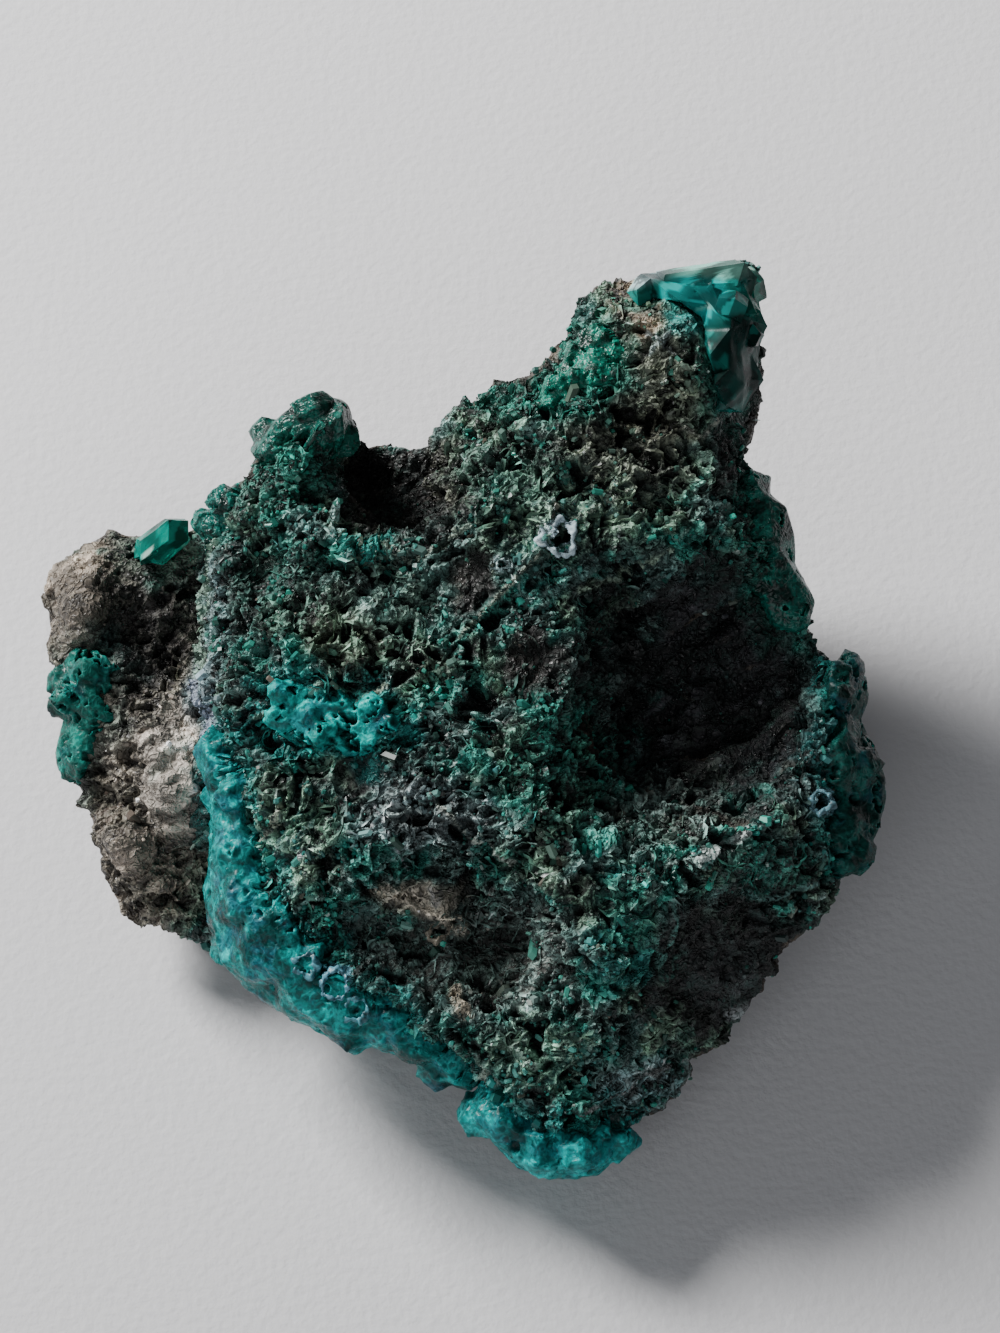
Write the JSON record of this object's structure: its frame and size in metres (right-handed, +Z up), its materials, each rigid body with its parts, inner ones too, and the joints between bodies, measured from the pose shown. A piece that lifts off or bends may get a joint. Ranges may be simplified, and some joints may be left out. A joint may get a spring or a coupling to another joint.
{
  "type": "dioptase crystal specimen",
  "caption": "Mineral specimen: green dioptase crusts and crystals grown on a pitted brown host rock, cut flat underneath.",
  "frame": {"origin": "on the flat foot, under the middle of the bounding box", "axes": "+Z up from the table; the crystal-covered show side faces -Y and up, leaning back 60 degrees from the table's plane; +X to the right of that side"},
  "size_m": [0.0512, 0.053, 0.0279],
  "materials": {
    "host_rock": "rough, pitted, iron-stained",
    "teal_crust": "waxy crust with a druse of small crystals",
    "green_crust": "glassy druse",
    "clear_crystal": "clear, vitreous faces"
  },
  "bodies": {
    "root": {"host_rock": "host_rock", "left_rim_crust": "teal_crust", "tip_crust": "teal_crust", "right_rim_crust": "teal_crust", "block_crust": "teal_crust", "centre_crust": "teal_crust", "shoulder_crust": "green_crust", "knob_crust": "green_crust", "corner_crust": "green_crust", "ridge_crust": "green_crust", "peak_crystals": "clear_crystal", "block_crystal": "clear_crystal"}
  },
  "joints": []
}
